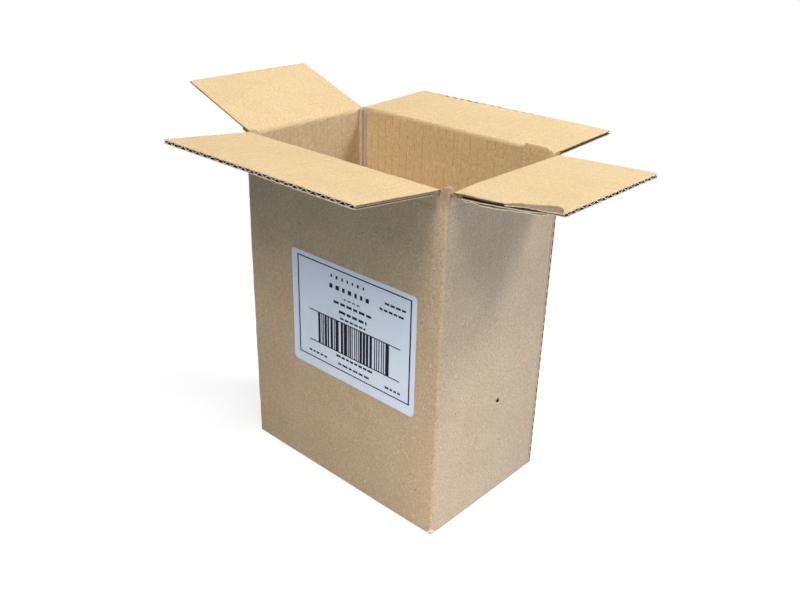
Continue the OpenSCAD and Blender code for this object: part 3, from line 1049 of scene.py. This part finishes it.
def label_face(x):
    """How far the label's face stands out, following the flutes under it."""
    return HALF_W + 0.24 - 0.03 * washboard(np.asarray(x) + LABEL_X)


def label_mesh():
    across, up = np.linspace(-LABEL_W / 2, LABEL_W / 2, 110), np.linspace(-LABEL_H / 2, LABEL_H / 2, 40)
    xx, zz = np.meshgrid(across, up)
    # corner points are pulled onto the rounded outline
    for sx in (-1, 1):
        for sz in (-1, 1):
            cx, cz = sx * (LABEL_W / 2 - LABEL_R), sz * (LABEL_H / 2 - LABEL_R)
            dx, dz = (xx - cx) * sx, (zz - cz) * sz
            m = (dx > 0) & (dz > 0)
            k = np.where(m, np.maximum(dx, dz) / np.maximum(np.hypot(dx, dz), 1e-9), 1)
            xx = np.where(m, cx + sx * dx * k, xx)
            zz = np.where(m, cz + sz * dz * k, zz)
    top = np.stack([xx + LABEL_X, -label_face(xx), zz + LABEL_Z], -1)
    bottom = np.stack([xx + LABEL_X, np.full_like(xx, -HALF_W + 0.12), zz + LABEL_Z], -1)
    return slab(top, bottom, 0, 0, 0)


dress(make("paper_label", [label_mesh()], [label_paper]), "carton", "label")


def mark(x0, v0, x1, v1):
    """A printed block from millimetres off the label's left and top edges, laid along the label's face."""
    xs = np.linspace(x0, x1, max(2, int((x1 - x0) / 0.9) + 1)) - LABEL_W / 2
    y = label_face(xs)
    grid = []
    for off in (0.025, -0.05):
        heights = (np.full_like(xs, LABEL_H / 2 - v + LABEL_Z) for v in (v1, v0))
        grid.append(np.stack([np.stack([xs + LABEL_X, -y - off, z], -1) for z in heights]))
    return slab(grid[0], grid[1], 0, 0, 0)


def label_print():
    """Border, rules, upright bars and rows of short dashes in place of the words."""
    parts = [
        mark(5.1, 2.8, 98.2, 3.6), mark(5.1, 68.6, 98.2, 69.4),
        mark(5.1, 3.6, 6.1, 68.6), mark(97.2, 3.6, 98.2, 68.6),
        mark(15.0, 35.9, 90.4, 36.6), mark(15.0, 56.8, 90.4, 57.5),
    ]
    draw = np.random.default_rng(77)
    x = 22.6
    while x < 83.0:
        wide = float(draw.choice([0.8, 1.3, 2.0, 2.8], p=[0.34, 0.28, 0.22, 0.16]))
        gap = float(draw.choice([0.6, 0.9, 1.3, 1.8], p=[0.42, 0.30, 0.18, 0.10]))
        parts.append(mark(x, 36.6, min(x + wide, 83.4), 56.8))
        x += wide + gap
    # height on the label, dash height, from, to, dash width, gap
    rows = (
        (8.3, 2.0, 34.0, 65.5, 1.5, 3.0), (14.8, 2.8, 33.0, 66.5, 2.6, 2.6), (20.4, 0.8, 45.0, 59.0, 2.2, 1.2),
        (24.3, 1.6, 36.5, 67.5, 4.0, 1.2), (29.6, 1.7, 41.0, 64.0, 4.8, 1.2), (33.7, 1.2, 42.0, 63.0, 3.0, 1.0),
        (11.4, 1.3, 78.0, 94.0, 3.0, 0.9), (15.9, 1.3, 74.0, 93.0, 3.4, 0.9),
        (59.9, 1.4, 38.5, 69.0, 3.2, 0.9), (64.9, 1.3, 14.0, 31.0, 2.8, 1.0), (65.1, 1.3, 40.0, 68.0, 3.6, 1.0),
        (65.1, 1.3, 79.0, 92.5, 2.8, 1.0),
    )
    for v, high, x0, x1, word, gap in rows:
        x = x0
        while x < x1 - 1.0:
            wide = word * float(draw.uniform(0.7, 1.2))
            parts.append(mark(x, v - high / 2, min(x + wide, x1), v + high / 2))
            x += wide + gap
    return parts


dress(make("label_print", label_print(), [label_ink]), "carton", None)


# Studio

WORLD_FILL = 0.003
FLOOR_REACH = 4.0
PAPER_GLOW = 0.48
SHADOW_FADE = (0.12, 0.34)   # the floor's paper turns plain white between these distances


def seen_directly(g):
    """1 for a ray that shows the background to the camera, also by way of a mirror or glass."""
    path = g.node("ShaderNodeLightPath")
    direct = g.math("MAXIMUM", path.outputs["Is Camera Ray"], path.outputs["Is Glossy Ray"])
    return g.math("MAXIMUM", direct, path.outputs["Is Transmission Ray"])


def glowing(g, kind, strength):
    """A white background or emission."""
    n = g.node(kind)
    put(n, {"Color": (1, 1, 1, 1), "Strength": strength})
    return n.outputs[0]


def choose(g, factor, a, b):
    """Shader a, or b where the factor is 1."""
    n = g.node("ShaderNodeMixShader")
    for socket, v in zip(n.inputs, (factor, a, b)):
        g.wire(v, socket)
    return n.outputs[0]


def studio_world():
    world = bpy.data.worlds.new("studio")
    bpy.context.scene.world = world
    world.use_nodes = True
    tree = world.node_tree
    tree.nodes.clear()
    g = Graph(tree)
    fill = glowing(g, "ShaderNodeBackground", WORLD_FILL)
    white = glowing(g, "ShaderNodeBackground", 1.0)
    out = g.node("ShaderNodeOutputWorld")
    g.wire(choose(g, seen_directly(g), fill, white), out.inputs[0])


def studio_floor():
    mesh = bpy.data.meshes.new("floor")
    r, z = FLOOR_REACH, -0.0002
    mesh.from_pydata([(-r, -r, z), (r, -r, z), (r, r, z), (-r, r, z)], [], [(0, 1, 2, 3)])
    floor = link(bpy.data.objects.new("floor", mesh))
    m, tree, shader = new_material("floor_white")
    g = Graph(tree)
    # the camera sees white paper with the box's own shadow; other rays meet a pale blue table
    put(shader, {"Base Color": (0.40, 0.55, 0.74, 1), "Roughness": 0.95, "Specular IOR Level": 0.0})
    sheet = g.node("ShaderNodeBsdfDiffuse")
    put(sheet, {"Color": (0.77, 0.80, 0.86, 1)})
    lit = g.node("ShaderNodeAddShader")
    g.wire(sheet.outputs[0], lit.inputs[0])
    g.wire(glowing(g, "ShaderNodeEmission", PAPER_GLOW), lit.inputs[1])
    away = g.ramp(g.far(g.axis(X, 1.0), g.axis(Y, 1.0)), *SHADOW_FADE)
    paper_sheet = choose(g, away, lit.outputs[0], glowing(g, "ShaderNodeEmission", 1.0))
    shown = choose(g, seen_directly(g), shader.outputs[0], paper_sheet)
    g.wire(shown, tree.nodes["Material Output"].inputs["Surface"])
    mesh.materials.append(m)


def area(name, place, size, power, colour, target=(0.0, 0.0, 0.12)):
    lamp = bpy.data.lights.new(name, "AREA")
    lamp.shape = "DISK"
    lamp.size = size
    lamp.energy = power
    lamp.color = colour
    obj = link(bpy.data.objects.new(name, lamp))
    obj.location = place
    obj.rotation_euler = (Vector(target) - Vector(place)).to_track_quat("-Z", "Y").to_euler()
    obj.visible_camera = False


studio_world()
studio_floor()
area("front", (0.2, -0.9, 1.6), 0.7, 15.7, (1.0, 0.955, 0.89))
area("front_left", (0.0, -1.3, 1.3), 0.7, 3.4, (1.0, 0.91, 0.78))
area("right", (0.9, -0.45, 1.5), 0.4, 6.1, (0.96, 0.975, 1.0))
area("window", (0.77, 0.81, 1.46), 0.4, 12.8, (1.0, 1.0, 0.99))
area("window_low", (0.9, 0.9, 1.2), 0.7, 7.1, (0.92, 0.965, 1.0))
area("right_card", (0.45, 0.0, 0.08), 0.25, 0.28, (0.81, 0.90, 1.0), (0.08, 0.0, 0.03))
area("near_card", (0.19, -0.16, 0.03), 0.10, 0.088, (1.0, 0.90, 0.70), (0.08, -0.05, 0.0))
area("back_card", (0.05, 0.42, 0.42), 0.15, 0.40, (1.0, 0.98, 0.95), (0.0, 0.08, 0.21))

# Camera, fitted to the photograph's edges

camera = bpy.data.cameras.new("camera")
SENSOR, FOCAL_PX, FRAME_PX = 36.0, 857.63, 800
camera.sensor_width = SENSOR
camera.lens = FOCAL_PX / FRAME_PX * SENSOR
camera.clip_start = 0.01
view = link(bpy.data.objects.new("camera", camera))
right = Vector((0.7342064, 0.67854816, 0.02265743))
up = Vector((-0.30876004, 0.30399248, 0.90125236))
forward = Vector((-0.60465544, 0.66870095, -0.43270178))
turn = Matrix((right, up, -forward)).transposed()
stand = Vector((0.33228, -0.36296, 0.34779))
view.matrix_world = Matrix.Translation(stand) @ turn.to_4x4()
bpy.context.scene.camera = view
bpy.context.scene.view_settings.view_transform = "Standard"
